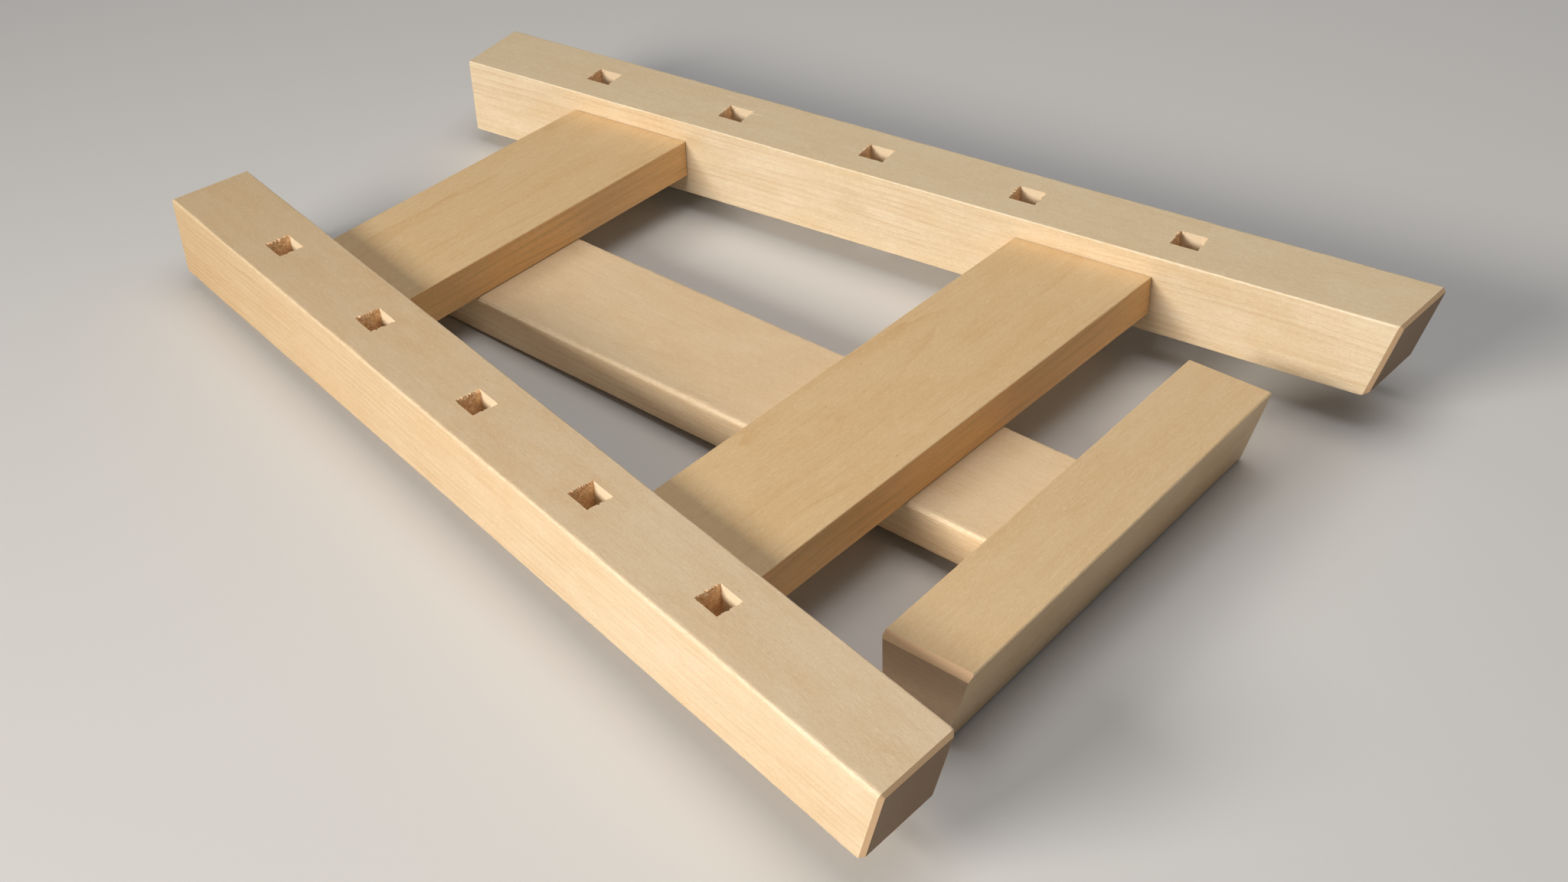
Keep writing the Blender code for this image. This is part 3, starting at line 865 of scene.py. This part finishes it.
def rail_easing(side):
    """Arris radii of a rail. The outer side is +Y on the right rail and -Y on the left one."""
    outer_front, inner_front, inner_back, outer_back = RAIL_EASING
    if side > 0:
        return (outer_front, inner_front, inner_back, outer_back)
    return (inner_front, outer_front, outer_back, inner_back)


def foot_plane(angle):
    """X of a rail's foot face at (y, z), parallel to the cross-boards and bevelled."""
    def x_at(y, z):
        return (FRAME_LENGTH + z * math.tan(FOOT_BEVEL) + y * math.sin(angle)) / math.cos(angle)
    return x_at


def rail_cutters(node, seed):
    """The rail's sockets and the splits that start from them."""
    cutters = []
    for i in range(SOCKET_COUNT):
        centre = SOCKET_FIRST + i * SOCKET_PITCH
        cutters.append(socket_cutter(f"{node}_socket", centre, seed * 10.0 + i * 1.7))
    for index, y, length in CRACKS[node]:
        corner = SOCKET_FIRST + index * SOCKET_PITCH + SOCKET_ALONG / 2 - CRACK_OVERLAP
        cutters.append(crack_cutter(f"{node}_crack", (corner, y), length, seed + index))
    return cutters


def make_rail(label, side, seed):
    node = f"{label}_rail"
    angle = side * SPLAY
    matrix = LOOM @ Matrix.Translation((0, side * HEAD_SPREAD, 0)) @ Matrix.Rotation(angle, 4, "Z")
    bar = Bar(RAIL_SIZE / 2, -RAIL_SIZE, 0.0, rail_easing(side), seed, RAIL_WEAR_TREND)
    mesh = bar.mesh(node, lambda y, z: 0.0, foot_plane(angle), HEAD_END_EASING, FOOT_CHAMFER,
                    FOOT_ROUNDING)
    cutters = rail_cutters(node, seed)
    for board in BOARD_STARTS:
        cutters += hole_cutters(f"dowel_{board}_{label}", (1, 2), matrix)
    material = rail_wood(f"{node}_wood", matrix, side, seed)
    add_piece(node, mesh, matrix, "frame", "rail_wood", material, cutters)


def make_board(label, seed):
    node = f"{label}_crossboard"
    middle_x = BOARD_STARTS[label] + BOARD_WIDTH / 2
    middle = (middle_x, 0.0, -BOARD_INSET - BOARD_THICKNESS / 2)
    matrix = LOOM @ Matrix.Translation(middle) @ QUARTER_TURN
    half = BOARD_THICKNESS / 2
    bar = Bar(BOARD_WIDTH / 2, -half, half, BOARD_EASING, seed)
    slack = GAP / math.cos(SPLAY)

    def reach(y):
        return inner_face_y(middle_x - y) - slack

    mesh = bar.mesh(node, lambda y, z: -reach(y), lambda y, z: reach(y), SAWN_END_EASING,
                    SAWN_END_EASING)
    cutters = []
    for side in ("left", "right"):
        cutters += hole_cutters(f"dowel_{label}_{side}", (1, 2), matrix)
    if label == "upper":
        for side in ("left", "right"):
            cutters += hole_cutters(f"hinge_{side}_screw", (1, 2), matrix)
    material = board_wood(f"{node}_wood", matrix, seed)
    add_piece(node, mesh, matrix, "frame", "board_wood", material, cutters)


def scarf_cutter():
    """A block above the stem's sloping upper end."""
    clear = KNUCKLE_RADIUS + GAP
    foot = Matrix.Translation((clear * math.sin(SCARF), 0.0, -clear * math.cos(SCARF)))
    return block((0.16, 0.16, 0.05), foot @ Matrix.Rotation(-SCARF, 4, "Y"), "scarf")


def make_stem(seed):
    node = "leg_stem"
    bar = Bar(STEM_WIDTH / 2, STEM_BOTTOM, STEM_TOP, STEM_EASING, seed)
    mesh = bar.mesh(node, lambda y, z: -NOSE_REACH, lambda y, z: STEM_REACH, NOSE_EASING,
                    SAWN_END_EASING)
    cutters = [scarf_cutter()] + hole_cutters("dowel_foot_bar", (1, 2), LEG)
    for side in ("left", "right"):
        cutters += hole_cutters(f"hinge_{side}_screw", (3, 4), LEG)
    material = stem_wood(f"{node}_wood", LEG, seed)
    add_piece(node, mesh, LEG, "rear_leg", "leg_wood", material, cutters)


def foot_bevel_cutter():
    """A block outside the foot bar's bevelled foot face."""
    place = Matrix.Translation((0.0, -BAR_SIZE / 2, 0.0))
    turn = Matrix.Rotation(math.pi / 2 + FOOT_BEVEL, 4, "X")
    return block((0.3, 0.12, 0.04), place @ turn, "foot_bevel")


def end_chamfer_cutter(end):
    """A block outside the chamfered top edge of the end at -X, whose X is end."""
    place = Matrix.Translation((end + BAR_END_CHAMFER / 2, 0.0, -BAR_END_CHAMFER / 2))
    turn = Matrix.Rotation(-math.radians(45.0), 4, "Y")
    return block((0.03, 0.12, 0.02), place @ turn, "end_chamfer")


def make_foot_bar(seed):
    node = "leg_foot_bar"
    near = STEM_REACH + GAP
    centre = Matrix.Translation((near + BAR_SIZE / 2, BAR_OFFSET, BAR_TOP))
    matrix = LEG @ centre @ QUARTER_TURN
    bar = Bar(BAR_SIZE / 2, -BAR_SIZE, 0.0, BAR_EASING, seed)
    half = BAR_LENGTH / 2
    mesh = bar.mesh(node, lambda y, z: -half, lambda y, z: half, BAR_END_EASING, BAR_END_EASING)
    cutters = [foot_bevel_cutter(), end_chamfer_cutter(-half)]
    cutters += hole_cutters("dowel_foot_bar", (1, 2), matrix)
    material = foot_bar_wood(f"{node}_wood", matrix, seed)
    add_piece(node, mesh, matrix, "rear_leg", "leg_wood", material, cutters)


# ---------------------------------------------------------------- carried-over nodes

def dress(node, material):
    item = frame["nodes"][node]
    item.data.materials.clear()
    item.data.materials.append(material)


def dress_small_nodes():
    """Materials for the dowels, hinges and screws, which keep their CAD meshes."""
    for node in frame["nodes"]:
        low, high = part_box(node)
        size = high - low
        middle = Matrix.Translation((low + high) / 2)
        if node.startswith("dowel"):
            along = LEG if "foot_bar" in node else LOOM @ QUARTER_TURN
            turn = middle @ along.to_3x3().to_4x4()
            dress(node, dowel_wood(f"{node}_wood", turn, size.x * 100))
        elif "leaf" in node:
            dress(node, brass_material(f"{node}_brass", LEAF_BRASS, middle))
        elif node.startswith("hinge"):
            dress(node, brass_material(f"{node}_brass", PIN_BRASS, middle))


# ---------------------------------------------------------------- floor, light and camera

def make_floor():
    bm = bmesh.new()
    bmesh.ops.create_grid(bm, x_segments=1, y_segments=1, size=FLOOR_SIZE)
    floor = bpy.data.objects.new("floor", finish_mesh(bm, "floor"))
    bpy.context.scene.collection.objects.link(floor)
    g = Graph("floor")
    g.shade("Base Color", opaque(FLOOR_COLOUR))
    g.shade("Roughness", FLOOR_ROUGHNESS)
    floor.data.materials.append(g.material)


def area_light(name, place, target, size, power, colour):
    data = bpy.data.lights.new(name, "AREA")
    data.shape = "RECTANGLE"
    data.size = size[0]
    data.size_y = size[1]
    data.energy = power
    data.color = colour
    lamp = bpy.data.objects.new(name, data)
    bpy.context.scene.collection.objects.link(lamp)
    lamp.location = place
    lamp.rotation_euler = (Vector(target) - Vector(place)).to_track_quat("-Z", "Y").to_euler()
    return data


def make_lights():
    """A low warm key from the near side, a soft light above and a faint cool sky."""
    world = bpy.data.worlds.new("studio")
    world.use_nodes = True
    background = world.node_tree.nodes["Background"]
    background.inputs["Color"].default_value = opaque(SKY_COLOUR)
    background.inputs["Strength"].default_value = SKY_STRENGTH
    bpy.context.scene.world = world
    key = area_light("key", KEY_PLACE, KEY_TARGET, KEY_SIZE, KEY_POWER, KEY_COLOUR)
    key.spread = KEY_SPREAD
    area_light("top", TOP_PLACE, TOP_TARGET, TOP_SIZE, TOP_POWER, TOP_COLOUR)
    bpy.context.scene.view_settings.view_transform = "Standard"


def make_camera():
    """The photograph's viewpoint, in the loom's own axes."""
    columns = (Vector(CAMERA_RIGHT), -Vector(CAMERA_DOWN), -Vector(CAMERA_FORWARD))
    turn = Matrix(columns).transposed().to_4x4()
    data = bpy.data.cameras.new("camera")
    data.lens = LENS
    data.sensor_width = SENSOR_WIDTH
    camera = bpy.data.objects.new("camera", data)
    bpy.context.scene.collection.objects.link(camera)
    camera.matrix_world = LOOM @ Matrix.Translation(CAMERA_PLACE) @ turn
    bpy.context.scene.camera = camera


def main():
    make_rail("left", -1, 1.3)
    make_rail("right", 1, 4.9)
    make_board("upper", 8.2)
    make_board("lower", 12.7)
    make_stem(16.1)
    make_foot_bar(21.4)
    dress_small_nodes()
    make_floor()
    make_lights()
    make_camera()


main()
